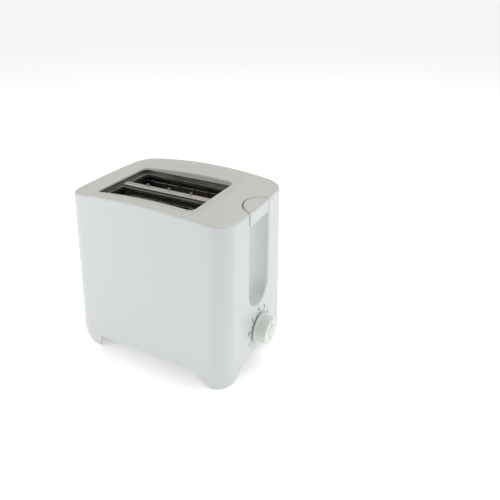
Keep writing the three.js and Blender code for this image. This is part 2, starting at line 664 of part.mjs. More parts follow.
add("control_board", box(BOARD_X, BOARD_BACK, -42, 42, 16, 54), FINISH.board);
add("film_capacitor", box(84, BOARD_X - GAP, 16, 34, 34, 46), FINISH.yellow);
add("electrolytic_capacitor", bar(5, 14, "x", [BOARD_X - GAP - 14, -22, 40], 18), FINISH.black);
add("timer_chip", box(BOARD_X - GAP - 3.5, BOARD_X - GAP, -8, 8, 42, 49), FINISH.black);
add("cancel_switch", box(BOARD_BACK + GAP, BOARD_BACK + 4, -3, 3, KNOB_Z - 3, KNOB_Z + 3), FINISH.black);
add("potentiometer_body", makePotentiometerBody(), FINISH.bright);
add("potentiometer_shaft", makePotentiometerShaft(), FINISH.bright);
add("browning_knob", makeBrowningKnob(), FINISH.knob);
add("cancel_button", makeCancelButton(), FINISH.knob);

add("base_plate", makeBasePlate(), FINISH.steel);
add("crumb_tray", makeCrumbTray(), FINISH.bright);
add("crumb_tray_handle", makeTrayHandle(), FINISH.white);
FEET.forEach((place, i) => add(`foot_pad_${i + 1}`, makeFootPad(place), FINISH.rubber));
SCREWS.forEach((place, i) => add(`base_screw_${i + 1}`, makeBaseScrew(place), FINISH.steel));
add("cord_inlet", makeCordInlet(), FINISH.black);
add("terminal_block", box(-106, -93, 14, 36, 14.6, 26), FINISH.black);

const bounds = new THREE.Box3().setFromObject(toaster);
toaster.position.x = -(bounds.min.x + bounds.max.x) / 2;
toaster.position.z = -FLOOR;

export default toaster;
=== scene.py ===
import json
import math

import bmesh
import bpy
from mathutils import Matrix, Vector


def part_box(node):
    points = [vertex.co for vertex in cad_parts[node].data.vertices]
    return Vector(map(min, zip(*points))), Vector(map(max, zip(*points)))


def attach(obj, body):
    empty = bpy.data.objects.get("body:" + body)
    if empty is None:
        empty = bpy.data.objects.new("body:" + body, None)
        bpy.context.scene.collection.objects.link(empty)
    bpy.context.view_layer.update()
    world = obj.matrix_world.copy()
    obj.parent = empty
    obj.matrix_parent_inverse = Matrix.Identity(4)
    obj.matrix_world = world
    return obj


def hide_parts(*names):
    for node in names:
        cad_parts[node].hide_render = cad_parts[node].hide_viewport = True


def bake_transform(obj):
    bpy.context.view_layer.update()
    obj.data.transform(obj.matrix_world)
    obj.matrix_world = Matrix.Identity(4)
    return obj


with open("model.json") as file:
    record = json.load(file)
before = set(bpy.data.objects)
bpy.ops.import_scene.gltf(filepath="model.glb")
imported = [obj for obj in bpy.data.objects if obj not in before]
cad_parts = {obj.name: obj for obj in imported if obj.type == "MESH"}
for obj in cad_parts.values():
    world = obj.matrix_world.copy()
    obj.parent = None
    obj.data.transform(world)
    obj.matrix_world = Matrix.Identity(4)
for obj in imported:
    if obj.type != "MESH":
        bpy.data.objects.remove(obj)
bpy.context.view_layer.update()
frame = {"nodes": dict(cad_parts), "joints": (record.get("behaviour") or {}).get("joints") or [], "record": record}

# The fine meshes and the materials of a pop-up toaster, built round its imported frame.
# Shapes are worked out in millimetres from the middle of the housing, with +X the lever end,
# -Y the long front face and +Z up from a level just above the worktop.  place() then moves them
# into the row frame, in metres.

MM = 0.001
SHARP_ANGLE = 36       # degrees between faces from which an edge is shaded sharp

# ---- driving dimensions

# housing
HALF_LENGTH = 113
HALF_WIDTH = 78
HEIGHT = 213
FLOOR = -7             # the worktop
WALL = 2.6
CORNER_RADIUS = 22
EDGE_RADIUS = 3.2
BOW_X = 3             # how far the middle of the ends and of the long faces stands out
BOW_Y = 4
ARCH = 8              # how far the top falls from its middle to the ends
FLARE_X = {"lever": 2.5, "cord": 12}  # how far each end leans out from the top to the floor
DRAWN_IN = {"lever": 0, "cord": 4.5}  # how far the top of each end is drawn in
FLARE_Y = 10          # how far the long faces lean out from the top to the floor
EDGE_HEIGHT = 12      # of the bottom edge between the feet
SKIRT = FLOOR + 1     # of the bottom edge at the feet
TUCK_RADIUS = 20      # rounding of the cord end's underside
TUCK_START = 0.66     # where it begins and how far it blends in, as shares of the half length
TUCK_BLEND = 0.3
PAST_WALL = HALF_WIDTH + 14  # beyond the long faces at any height
OVERSHOOT = 6         # how far a cutter stands out of the surface it cuts
CLEAR_TOP = HEIGHT + OVERSHOOT
FOOT_FLAT = {"lever": 5, "cord": 26}  # length of a foot beyond its corner
FOOT_RAMP = {"lever": 30, "cord": 6}  # over which the bottom edge rises beside it
HEM_RADIUS = 1.0      # rounding of the bottom edge
SETTLED = 40          # height above which the rings of the skin are level
FIT_GAP = 0.3         # between pieces that meet

# top opening, slots and lever channel
OPENING_CORNER = 8
OPENING_EDGE = 1.6    # rounding of the opening's upper edge
PLATE_REACH = 1.6     # how far the slot plate reaches under the lip
DISH_DEPTH = 6        # how far the top sinks towards the opening
DISH_REACH = 20       # from the opening's edge to the dish's rim
DISH_CREASE = 0.35    # share of its depth that falls in a straight line, which creases its rim
LIP_WALL = 2
LIP_BOTTOM = 199.6
SHEET = 1
SLOT_WIDTH = 36
SLOT_MIDDLE = 26
SLOT_CORNER = 3
SLOT_END_GAP = {"lever": 4, "cord": 7}  # from the end of the opening to the end of a slot
LEVER_AXIS = 119
LEVER_RADIUS = 24.2
CHANNEL_RADIUS = 25.8
CHANNEL_FLOOR = 99
CHANNEL_EDGE = 2.6    # rounding of the channel's edge on the end face
NOTCH_EDGE = 1.1      # rounding of its edge on the top

# lever
LEVER_CORNER = 1.3    # the upright corners beside the lever's front
LEVER_ARC_EDGE = 0.9  # rounding of its top along the arc
LEVER_HEM = 0.7       # rounding of its underside
LEVER_SET_BACK = 0.05  # how far its front lies behind the end face
TONGUE_HALF_WIDTH = 2.5
TONGUE_HEIGHT = 4
TONGUE_CLEARANCE = 2
TONGUE_SLOT_HALF = 3.2

# browning control
KNOB_SIDE = 19.5
KNOB_BORE = 4.3
KNOB_RECESS = 9.7     # how deep the hole for the button starts from the knob's back
POINTER_RISE = 0.5    # how far the pointer stands out of the knob's face
POINTER_HALF = 0.85
SHAFT_HOLE = 5.2
BUTTON_SIDE = 7.5
BUTTON_HOLE = 8.1
BUTTON_STEM = 2
NUMBER_COUNT = 7
NUMBER_STEP = 38      # degrees from one number to the next
NUMBER_RING = 27.4    # radius of the ring of numbers
NUMBER_SIZE = 8.2
TICK_NEAR = 20.5      # the ticks' inner and outer ends, from the knob's axis
TICK_FAR = 22.8
TICK_WIDTH = 1.2

# the cord's way in
INLET_BORE = 4.6
INLET_NECK = 7.6
INLET_FLANGE = 10.5
INLET_RIM = 2.2       # thickness of the flange

# toasting chamber
DIVIDER_THICKNESS = 2.2
TAB_PLACES = (-46, -14, 18)
TAB_WIDTH = 3
TAB_TWIST = 24        # degrees
GUARD_WIRE = 0.9      # radius
GUARD_RAILS = (33, 187)
GUARD_FOOT = 30
GUARD_HEAD = 190
GUARD_COUNT = 6
GUARD_START = -66
GUARD_PITCH = 21.6
SPRING_RADIUS = 3
SPRING_WIRE = 0.5     # radius
SPRING_TURNS = 10

# base
BOSS_RADIUS = 4.6
BOSS_HEIGHT = 26
BOSS_WEB_HALF = 1.2
BOSS_WEB_TOP = 36
PILOT_HOLE = 1.9
TRAY_CLEARANCE = 0.5
SCOOP_RADIUS = 6
SCOOP_START = -36
SCOOP_LENGTH = 48
FOOT_CORNER = 4
GROOVE_PITCH = 4
GROOVE_HALF = 0.6
SCREW_HEAD = 3.6
SCREW_SHANK = 1.5
CROSS_REACH = 1.9
CROSS_HALF = 0.4

# where the housing's middle lies in the row frame
OFFSET = Vector((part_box("lever_knob")[0].x / MM - (LEVER_AXIS - LEVER_RADIUS), 0, -FLOOR))


def cad_box(node):
    """The lowest and highest corners of a CAD node, in millimetres from the housing's middle."""
    low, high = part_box(node)
    return low / MM - OFFSET, high / MM - OFFSET


def cad_middle(node):
    low, high = cad_box(node)
    return (low + high) / 2


KNOB_HEIGHT = cad_middle("browning_knob").z  # of the browning control's axis


# ---- mesh helpers


def smoothstep(t):
    t = min(max(t, 0), 1)
    return t * t * (3 - 2 * t)


def lerp(a, b, t):
    return a + (b - a) * t


def shares(steps):
    """From 0 to 1 in equal steps."""
    return [i / steps for i in range(steps + 1)]


def round_angles(sides):
    """Equal steps right round a circle."""
    return [2 * math.pi * i / sides for i in range(sides)]


def quarter_round(steps):
    """Equal steps through a right angle as (1 - sine, 1 - cosine): how far a rounded edge is still
    from its end and how far it has gone the other way."""
    angles = [t * math.pi / 2 for t in shares(steps)]
    return [(1 - math.sin(a), 1 - math.cos(a)) for a in angles]


def linked(name, data):
    """A new object in the scene."""
    obj = bpy.data.objects.new(name, data)
    bpy.context.scene.collection.objects.link(obj)
    return obj


def solid(verts, faces):
    """A linked object from points and faces, with doubles merged and its faces turned outward."""
    mesh = bpy.data.meshes.new("shape")
    mesh.from_pydata([tuple(v) for v in verts], [], faces)
    bm = bmesh.new()
    bm.from_mesh(mesh)
    bmesh.ops.remove_doubles(bm, verts=bm.verts, dist=1e-4)
    bmesh.ops.recalc_face_normals(bm, faces=bm.faces)
    bm.to_mesh(mesh)
    bm.free()
    return linked("shape", mesh)


def through(rings, ends, closed=True):
    """A solid whose sides join rings of equal length, one after the other, and whose end faces
    are given by the numbers of their points."""
    count = len(rings[0])
    faces = []
    for start in range(0, (len(rings) - 1) * count, count):
        for i in range(count if closed else count - 1):
            j = (i + 1) % count
            faces.append((start + i, start + j, start + count + j, start + count + i))
    return solid([p for ring in rings for p in ring], faces + ends)


def stack(rings):
    """A solid through closed rings of points, with a flat face at each end."""
    count = len(rings[0])
    last = (len(rings) - 1) * count
    return through(rings, [tuple(range(count)), tuple(range(last, last + count))])


def mirrored_loft(halves):
    """A solid through rings that mirror themselves across y = 0, capped by strips across it."""
    rings = [half + [Vector((p.x, -p.y, p.z)) for p in reversed(half)] for half in halves]
    count = len(rings[0])
    strips = []
    for start in (0, (len(rings) - 1) * count):
        for i in range(count // 2 - 1):
            j = count - 1 - i
            strips.append((start + i, start + i + 1, start + j - 1, start + j))
    return through(rings, strips)


def flat_ring(outline, z):
    return [Vector((p.x, p.y, z)) for p in outline]


def prism(outline, z0, z1):
    return stack([flat_ring(outline, z0), flat_ring(outline, z1)])


def block(x0, x1, y0, y1, z0, z1):
    return prism([Vector(p) for p in ((x0, y0), (x1, y0), (x1, y1), (x0, y1))], z0, z1)


def rounded_rectangle(x0, x1, y0, y1, radius, arc_steps=8, side_steps=1):
    """Points round a rectangle with round corners, its straight sides cut into equal steps."""
    middles = [(x1 - radius, y1 - radius), (x0 + radius, y1 - radius)]
    middles += [(x0 + radius, y0 + radius), (x1 - radius, y0 + radius)]
    arcs = []
    for quarter, (cx, cy) in enumerate(middles):
        angles = [(quarter + t) * math.pi / 2 for t in shares(arc_steps)]
        arcs.append([Vector((cx + radius * math.cos(a), cy + radius * math.sin(a))) for a in angles])
    points = []
    for arc, following in zip(arcs, arcs[1:] + arcs[:1]):
        points += arc
        points += [arc[-1].lerp(following[0], t) for t in shares(side_steps)[1:-1]]
    return points


def grown_rectangle(limits, growth, corner, *steps):
    """A rounded rectangle with every side and its corners' radius moved out by growth."""
    x0, x1, y0, y1 = limits
    return rounded_rectangle(x0 - growth, x1 + growth, y0 - growth, y1 + growth, corner + growth, *steps)


def filleted(points, steps=5):
    """A profile from (radius, along, rounding) points: each corner becomes a curve of that reach."""
    path = [Vector(p[:2]) for p in points]
    profile = []
    for i, corner in enumerate(path):
        reach = points[i][2] if len(points[i]) > 2 else 0
        if reach == 0 or i in (0, len(path) - 1):
            profile.append(tuple(corner))
            continue
        before, after = path[i - 1] - corner, path[i + 1] - corner
        start = corner + before.normalized() * min(reach, before.length / 2)
        end = corner + after.normalized() * min(reach, after.length / 2)
        for t in shares(steps):
            profile.append(tuple(start.lerp(corner, t).lerp(corner.lerp(end, t), t)))
    return profile


def turned(profile, origin, axis="x", sides=72):
    """A solid of revolution.  Profile points are (radius, distance along the axis)."""
    verts = []
    for angle in round_angles(sides):
        for radius, along in profile:
            a, b = radius * math.cos(angle), radius * math.sin(angle)
            verts.append(Vector((along, a, b) if axis == "x" else (a, b, along)) + Vector(origin))
    count = len(profile)
    faces = []
    for i in range(sides):
        here, there = i * count, (i + 1) % sides * count
        for j in range(count - 1):
            faces.append((here + j, here + j + 1, there + j + 1, there + j))
    return solid(verts, faces)


def bar(radius, length, origin, axis="x", sides=48):
    return turned([(0, 0), (radius, 0), (radius, length), (0, length)], origin, axis, sides)


def wire(points, radius, sides):
    """A round wire through points, with flat ends.  Its section is carried along without twisting."""
    path = [Vector(p) for p in points]
    rings = []
    across = None
    for i, point in enumerate(path):
        along = (path[min(i + 1, len(path) - 1)] - path[max(i - 1, 0)]).normalized()
        across = along.orthogonal() if across is None else across - along * across.dot(along)
        across = across.normalized()
        up = along.cross(across)
        angles = round_angles(sides)
        rings.append([point + radius * (across * math.cos(a) + up * math.sin(a)) for a in angles])
    return stack(rings)


def applied(obj):
    """Makes the object's modifiers part of its mesh."""
    graph = bpy.context.evaluated_depsgraph_get()
    mesh = bpy.data.meshes.new_from_object(obj.evaluated_get(graph), depsgraph=graph)
    old = obj.data
    obj.modifiers.clear()
    obj.data = mesh
    bpy.data.meshes.remove(old)
    return obj


def combine(base, tools, operation):
    for tool in tools:
        modifier = base.modifiers.new("combine", "BOOLEAN")
        modifier.operation = operation
        modifier.solver = "MANIFOLD"
        modifier.object = tool
        applied(base)
        bpy.data.objects.remove(tool)
    return base


def cut(base, *tools):
    return combine(base, tools, "DIFFERENCE")


def join(base, *tools):
    return combine(base, tools, "UNION")


def soften(obj, width, segments, angle):
    """Adds a modifier that rounds the edges sharper than an angle."""
    modifier = obj.modifiers.new("bevel", "BEVEL")
    modifier.width = width
    modifier.segments = segments
    modifier.limit_method = "ANGLE"
    modifier.angle_limit = math.radians(angle)


def bevelled(obj, width, segments):
    soften(obj, width, segments, 32)
    return applied(obj)


def finished(obj, slot_name, look=None):
    """Smooth shading that keeps flat faces flat, and the slot's material or a look of its own."""
    obj.data.shade_smooth()
    obj.modifiers.new("normals", "WEIGHTED_NORMAL").keep_sharp = True
    obj.data.materials.clear()
    obj.data.materials.append(look or LOOKS[slot_name])


def dress(obj, name, slot_name, angle=SHARP_ANGLE):
    """Names a shape, brings it into the row frame and gives it its slot's material."""
    obj.name = name
    obj.data.name = name
    obj.data.transform(Matrix.Scale(MM, 4) @ Matrix.Translation(OFFSET))
    finished(obj, slot_name)
    obj.data.set_sharp_from_angle(angle=math.radians(angle))


def place(obj, name, body, slot_name, *nodes, angle=SHARP_ANGLE):
    """Dresses a shape, ties it to a body and hides the nodes it replaces."""
    dress(obj, name, slot_name, angle)
    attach(obj, body)
    if nodes:
        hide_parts(*nodes)


# ---- materials


class Paint:
    """A node material with a Principled shader, and short calls for the nodes that feed it."""

    def __init__(self, name, **constants):
        self.material = bpy.data.materials.new(name)
        self.material.use_nodes = True
        self.tree = self.material.node_tree
        self.shader = self.tree.nodes["Principled BSDF"]
        self.feed(self.shader, {name.replace("_", " "): value for name, value in constants.items()})
        self.place = self.node("ShaderNodeTexCoord").outputs["Object"]

    def feed(self, node, inputs):
        """Gives a node's inputs their values, or other nodes' outputs."""
        for key, value in inputs.items():
            if isinstance(value, bpy.types.NodeSocket):
                self.tree.links.new(value, node.inputs[key])
            else:
                node.inputs[key].default_value = value

    def node(self, kind, inputs=None, **settings):
        made = self.tree.nodes.new(kind)
        for key, value in settings.items():
            setattr(made, key, value)
        self.feed(made, inputs or {})
        return made

    def stretched(self, x, y, z):
        """Object coordinates scaled along each axis."""
        return self.node("ShaderNodeMapping", {"Scale": (x, y, z), "Vector": self.place}).outputs["Vector"]

    def noise(self, scale, detail, roughness=0.5, place=None):
        """A noise pattern.  Scale is in repeats to the metre."""
        inputs = {"Scale": scale, "Detail": detail, "Roughness": roughness, "Vector": place or self.place}
        return self.node("ShaderNodeTexNoise", inputs).outputs["Fac"]

    def cells(self, scale, place):
        """Distance from the middles of scattered cells."""
        return self.node("ShaderNodeTexVoronoi", {"Scale": scale, "Vector": place}).outputs["Distance"]

    def stripes(self, scale, direction):
        """Round stripes across one axis.  Scale is in repeats to the metre."""
        inputs = {"Scale": scale / 20 * 2 * math.pi, "Vector": self.place}
        return self.node("ShaderNodeTexWave", inputs, bands_direction=direction).outputs["Fac"]

    def between(self, value, from_low, from_high, to_low, to_high):
        """Turns one range of values into another, clamped at its ends."""
        limits = {"From Min": from_low, "From Max": from_high, "To Min": to_low, "To Max": to_high}
        return self.node("ShaderNodeMapRange", {"Value": value, **limits}).outputs["Result"]

    def mottle(self, scale, detail, low, high):
        """Soft patches between two values."""
        return self.between(self.noise(scale, detail), 0.3, 0.7, low, high)

    def blend(self, factor, first, second):
        """Mixes two colours, each a colour or another node's output."""
        first, second = [c if isinstance(c, bpy.types.NodeSocket) else (*c, 1) for c in (first, second)]
        inputs = {0: factor, 6: first, 7: second}
        return self.node("ShaderNodeMix", inputs, data_type="RGBA").outputs[2]

    def math(self, operation, first, second):
        return self.node("ShaderNodeMath", {0: first, 1: second}, operation=operation).outputs[0]

    def axis(self, name, vector=None):
        return self.node("ShaderNodeSeparateXYZ", {0: vector or self.place}).outputs[name]

    def finish(self, colour, roughness, *bumps):
        """Feeds the shader.  Each bump is (height pattern, depth in metres)."""
        self.feed(self.shader, {"Base Color": colour, "Roughness": roughness})
        normal = {}
        for height, depth in bumps:
            inputs = {"Strength": 1.0, "Distance": depth, "Height": height, **normal}
            normal = {"Normal": self.node("ShaderNodeBump", inputs).outputs["Normal"]}
        self.feed(self.shader, normal)
        return self.material


def tinted(colour, gain):
    return tuple(min(1, channel * gain) for channel in colour)


def moulded_plastic(name, colour, roughness, grain=1600, depth=6e-6, drift=0.02):
    """Injection moulded plastic: faint flow mottling and the fine grain of a spark-eroded mould."""
    paint = Paint(name)
    flow = paint.mottle(9, 2, 0, 1)
    shade = paint.blend(flow, tinted(colour, 1 - drift), tinted(colour, 1 + drift))
    gloss = paint.mottle(45, 3, roughness - 0.03, roughness + 0.04)
    return paint.finish(shade, gloss, (paint.noise(grain, 2, 0.6), depth), (paint.noise(60, 1), 4e-6))


def over_opening(paint, height):
    """1 inside the top opening and on its rolled edge, 0 outside."""
    low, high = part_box("slot_plate")
    rim = 1.5 * MM
    across = paint.math("ABSOLUTE", paint.axis("Y"), 0)
    inside = paint.between(across, high.y + rim, high.y, 0, 1)
    for edge, inward in ((low.x, 1), (high.x, -1)):
        within = paint.between(paint.axis("X"), edge - inward * rim, edge, 0, 1)
        inside = paint.math("MULTIPLY", inside, within)
    near_top = paint.between(paint.axis("Z"), height - 45 * MM, height - 40 * MM, 0, 1)
    return paint.math("MULTIPLY", inside, near_top)


def housing_plastic():
    """White plastic, painted a warmer, slightly darker tone on upward-facing surfaces near the top and on the lip
    inside the opening: painted light standing in for the darker, warmer light on the top and the shade in the
    opening.
    """
    paint = Paint("housing_white", Coat_Weight=0.12, Coat_Roughness=0.16, Specular_IOR_Level=0.5)
    flow = paint.mottle(7, 2, 0, 1)
    # cool is the plastic's own colour; warm is the painted tone for the top and the lip, standing in for their
    # light and shade
    cool = paint.blend(flow, (0.638, 0.664, 0.673), (0.658, 0.684, 0.692))
    warm = paint.blend(flow, (0.632, 0.627, 0.597), (0.663, 0.658, 0.627))
    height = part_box("outer_housing")[1].z
    near_top = paint.between(paint.axis("Z"), height - 22 * MM, height - 19 * MM, 0, 1)
    normal = paint.node("ShaderNodeTexCoord").outputs["Normal"]
    upward = paint.between(paint.axis("Z", normal), 0.6, 0.95, 0, 1)
    # painted light: upward-facing surfaces near the top and the lip inside the opening take the warm, darker tone
    painted_top_tone = paint.math("MAXIMUM", paint.math("MULTIPLY", near_top, upward), over_opening(paint, height))
    shade = paint.blend(painted_top_tone, cool, warm)
    gloss = paint.mottle(40, 3, 0.33, 0.40)
    grain = paint.noise(1500, 2, 0.6)
    return paint.finish(shade, gloss, (grain, 5e-6), (paint.noise(28, 1), 1.2e-5))


def brushed_metal(name, colour, roughness, lines=(300, 300, 2600), tint=None):
    """Sheet metal with the fine lines of rolling along it, and blotches of heat tint."""
    paint = Paint(name, Metallic=1.0)
    streaks = paint.noise(1, 3, 0.6, paint.stretched(*lines))
    shade = paint.blend(streaks, tinted(colour, 0.88), tinted(colour, 1.12))
    if tint:
        heat = paint.between(paint.noise(26, 4, 0.6), 0.42, 0.68, 0, 0.75)
        shade = paint.blend(heat, shade, tint)
    gloss = paint.mottle(90, 4, roughness - 0.08, roughness + 0.10)
    return paint.finish(shade, gloss, (streaks, 4e-6), (paint.noise(400, 2), 3e-6))


def mica():
    """Pressed mica board: flakes of brown and silver grey, baked darker in patches."""
    paint = Paint("mica", Specular_IOR_Level=0.6)
    flakes = paint.cells(260, paint.stretched(1, 1, 0.7))
    base = paint.blend(paint.between(flakes, 0.1, 0.6, 0, 1), (0.045, 0.037, 0.028), (0.075, 0.062, 0.045))
    baked = paint.between(paint.noise(40, 3), 0.45, 0.7, 0, 0.7)
    shade = paint.blend(baked, base, (0.02, 0.017, 0.014))
    gloss = paint.between(flakes, 0.0, 0.6, 0.35, 0.7)
    return paint.finish(shade, gloss, (flakes, 2.5e-5), (paint.noise(900, 2), 1e-5))


def winding():
    """Enamelled copper wire, wound in close turns."""
    paint = Paint("copper_winding", Metallic=1.0)
    turns = paint.stripes(2500, "Z")
    shade = paint.blend(turns, (0.20, 0.06, 0.02), (0.72, 0.30, 0.13))
    gloss = paint.between(turns, 0, 1, 0.5, 0.28)
    return paint.finish(shade, gloss, (turns, 1.2e-4))


def circuit_board():
    """Tan phenolic paper board with a faint weave."""
    paint = Paint("circuit_board")
    fibres = paint.noise(1, 4, 0.7, paint.stretched(900, 140, 900))
    shade = paint.blend(fibres, (0.30, 0.19, 0.075), (0.45, 0.31, 0.14))
    return paint.finish(shade, paint.between(fibres, 0.3, 0.7, 0.45, 0.65), (fibres, 1e-5))


def rubber():
    """Dark moulded rubber with a dusty, pitted surface."""
    paint = Paint("foot_rubber", Specular_IOR_Level=0.3)
    dust = paint.between(paint.noise(300, 4, 0.7), 0.5, 0.75, 0, 0.6)
    shade = paint.blend(dust, (0.022, 0.023, 0.024), (0.085, 0.083, 0.08))
    gloss = paint.mottle(120, 3, 0.7, 0.92)
    return paint.finish(shade, gloss, (paint.noise(1400, 3), 2.5e-5))


def dial_print():
    """Pad-printed dark grey ink."""
    paint = Paint("dial_print")
    wear = paint.noise(1500, 2)
    shade = paint.blend(wear, (0.035, 0.036, 0.039), (0.06, 0.061, 0.064))
    return paint.finish(shade, paint.between(wear, 0.3, 0.7, 0.45, 0.6), (wear, 3e-6))


LOOKS = {
    "housing_white": housing_plastic(),
    "control_grey": moulded_plastic("control_grey", (0.735, 0.765, 0.73), 0.36),
    "foot_rubber": rubber(),
    "steel": brushed_metal("steel", (0.22, 0.22, 0.20), 0.46, tint=(0.11, 0.10, 0.075)),
    "bright_steel": brushed_metal("bright_steel", (0.56, 0.55, 0.50), 0.42, lines=(60, 1800, 1800)),
    "wire": brushed_metal("wire", (0.24, 0.235, 0.22), 0.45, lines=(500, 500, 500), tint=(0.08, 0.07, 0.055)),
    "mica": mica(),
    "resistance_ribbon": brushed_metal(
        "resistance_ribbon", (0.12, 0.115, 0.11), 0.5, tint=(0.05, 0.045, 0.045)
    ),
    "copper_winding": winding(),
    "contact_brass": brushed_metal("contact_brass", (0.72, 0.52, 0.22), 0.32),
    "circuit_board": circuit_board(),
    "black_plastic": moulded_plastic("black_plastic", (0.022, 0.022, 0.024), 0.46, 1200, 1.5e-5, 0.25),
    "yellow_plastic": moulded_plastic("yellow_plastic", (0.58, 0.36, 0.03), 0.40),
}
DIAL_PRINT = dial_print()
SOOTED = brushed_metal("sooted_steel", (0.17, 0.16, 0.14), 0.5, tint=(0.07, 0.06, 0.045))

# ---- the housing's moulded skin


def mould(x, y, z):
    """Bends a plain upright block into the housing's shape: bowed sides, a wider foot,
    an arched top, and a rounded underside at the cord end."""
    u = x / HALF_LENGTH
    v = y / HALF_WIDTH
    low = 1 - z / HEIGHT
    end = "lever" if x > 0 else "cord"
    longer = FLARE_X[end] * low - DRAWN_IN[end] - BOW_X * v * v
    moulded_x = x * (1 + longer / HALF_LENGTH)
    moulded_y = y * (1 - (BOW_Y / HALF_WIDTH) * u * u + (FLARE_Y / HALF_WIDTH) * low)
    moulded_z = z * (1 - (ARCH / HEIGHT) * u * u)
    above = z - FLOOR
    if x < 0 and above < TUCK_RADIUS:
        rise = min(TUCK_RADIUS - above, TUCK_RADIUS * 0.98)
        tuck = TUCK_RADIUS - math.sqrt(TUCK_RADIUS**2 - rise**2)
        moulded_x += tuck * smoothstep((-u - TUCK_START) / TUCK_BLEND)
    return Vector((moulded_x, moulded_y, moulded_z))


def half_plan(inset, end_steps, arc_steps, side_steps):
    """Front half of the plan outline, from the lever end to the cord end, inset from the skin."""
    a = HALF_LENGTH - inset
    b = HALF_WIDTH - inset
    radius = max(CORNER_RADIUS - inset, 1)
    end = [(a, -(b - radius) * (i + 0.5) / end_steps) for i in range(end_steps)]
    angles = [t * math.pi / 2 for t in shares(arc_steps)]
    corner = [(a - radius + radius * math.cos(q), -(b - radius) - radius * math.sin(q)) for q in angles]
    side = [((a - radius) * (1 - 2 * t), -b) for t in shares(side_steps)[1:-1]]
    lever_side = end + corner
    cord_side = [(-x, y) for x, y in reversed(lever_side)]
    return lever_side + side + cord_side


def bottom_edge(x, y):
    """Height of the housing's bottom edge: low at the corner feet, raised between them."""
    end = "lever" if x > 0 else "cord"
    along_side = HALF_LENGTH - abs(x) - CORNER_RADIUS / 2
    along_end = HALF_WIDTH - abs(y) - CORNER_RADIUS / 2
    on_side = abs(y) / HALF_WIDTH > abs(x) / HALF_LENGTH
    past = along_side - FOOT_FLAT[end] if on_side else along_end - FOOT_FLAT["lever"]
    ramp = FOOT_RAMP[end] if on_side else FOOT_RAMP["lever"]
    return SKIRT + (EDGE_HEIGHT - SKIRT) * smoothstep(past / ramp)


def skin_rings(inset, bottom, hem, low_steps, high_steps, edge_steps):
    """(inset, level) of each ring from the underside to the top.  A level is a height for a plan point."""
    top = HEIGHT - inset
    rings = [(inset + WALL + 1.5, bottom)]
    for inward, rise in quarter_round(edge_steps // 2):
        rings.append((inset + hem * inward, lambda x, y, rise=rise: bottom(x, y) + hem * rise))
    for t in shares(low_steps)[1:]:
        rings.append((inset, lambda x, y, t=t: lerp(bottom(x, y) + hem, SETTLED, t)))
    for t in shares(high_steps)[1:-1]:
        rings.append((inset, lambda x, y, t=t: lerp(SETTLED, top - EDGE_RADIUS, t)))
    for drop, inward in quarter_round(edge_steps):
        rings.append((inset + EDGE_RADIUS * inward, lambda x, y, drop=drop: top - EDGE_RADIUS * drop))
    return rings


def skin(inset, bottom, hem, plan_steps, ring_steps):
    """The solid inside a surface inset from the housing's outside."""
    plan = half_plan(0, *plan_steps)
    halves = []
    for ring_inset, level in skin_rings(inset, bottom, hem, *ring_steps):
        outline = half_plan(ring_inset, *plan_steps)
        halves.append([mould(x, y, level(*flat)) for (x, y), flat in zip(outline, plan)])
    return mirrored_loft(halves)


def outer_skin():
    return skin(0, bottom_edge, HEM_RADIUS, (14, 20, 36), (14, 18, 10))


def inner_skin():
    return skin(WALL, lambda x, y: FLOOR - 5, 0, (5, 8, 12), (3, 4, 4))


def top_height(x, y):
    """Height of the housing's top over a point, found by undoing the moulding in plan."""
    u, v = x / HALF_LENGTH, y / HALF_WIDTH
    drawn_in = DRAWN_IN["lever" if x > 0 else "cord"]
    for _ in range(3):
        flat_x = x / (1 - (BOW_X * v * v + drawn_in) / HALF_LENGTH)
        flat_y = y / (1 - BOW_Y / HALF_WIDTH * u * u)
        u, v = flat_x / HALF_LENGTH, flat_y / HALF_WIDTH
    return HEIGHT - ARCH * u * u


def face_x(y, z):
    """Where the lever end's face lies at a point across and up it."""
    low = 1 - z / (HEIGHT - ARCH)
    v = y / (HALF_WIDTH - BOW_Y + FLARE_Y * low)
    return HALF_LENGTH - BOW_X * v * v + FLARE_X["lever"] * low


def flare(radius, steps=6):
    """(depth, growth) of a cutter's mouth that rounds an edge over: almost a quarter round,
    then straight on outward above the surface."""
    stop = math.radians(78)
    above = 0.5
    points = []
    for t in shares(steps):
        angle = stop * (1 - t)
        points.append((radius * (1 - math.sin(angle)), radius * (1 - math.cos(angle))))
    depth, growth = points[0]
    return [(depth - above, growth + above * math.tan(stop))] + points


# ---- housing


def opening_limits():
    """x0, x1, y0 and y1 of the top opening: the slot plate reaches a little under its lip."""
    low, high = cad_box("slot_plate")
    half_width = high.y - PLATE_REACH
    return low.x + PLATE_REACH, high.x - PLATE_REACH, -half_width, half_width


def opening_outline(growth, side_steps=20):
    return grown_rectangle(opening_limits(), growth, OPENING_CORNER, 10, side_steps)


def dish_depth(share):
    """How far the top has sunk at a share of the way from the opening's edge to the dish's rim."""
    return DISH_DEPTH * (DISH_CREASE * (1 - share) + (1 - DISH_CREASE) * (1 - smoothstep(share)))


def opening_ring(growth, lowered):
    """A ring round the opening that lies on the dished top, or a little under it."""
    sunk = dish_depth(growth / DISH_REACH) + lowered
    return [Vector((p.x, p.y, top_height(p.x, p.y) - sunk)) for p in opening_outline(growth)]


def dish_body(lowered):
    """The space over the dished part of the top, or that space lowered to leave a wall under it."""
    above = 0.5
    clear = DISH_REACH * (1 + above / (DISH_DEPTH * DISH_CREASE))
    rim = [Vector((p.x, p.y, top_height(p.x, p.y) + above - lowered)) for p in opening_outline(clear)]
    rings = [opening_ring(DISH_REACH * t, lowered) for t in shares(14)]
    return stack(rings + [rim, flat_ring(rim, CLEAR_TOP)])


def opening_cutter():
    """Cuts the top opening down through the lip, with its upper edge rounded over."""
    rings = [opening_ring(growth, depth) for depth, growth in flare(OPENING_EDGE)]
    top = flat_ring(rings[0], CLEAR_TOP)
    below_lip = LIP_BOTTOM - 45
    return stack([top] + rings + [flat_ring(opening_outline(0), below_lip)])


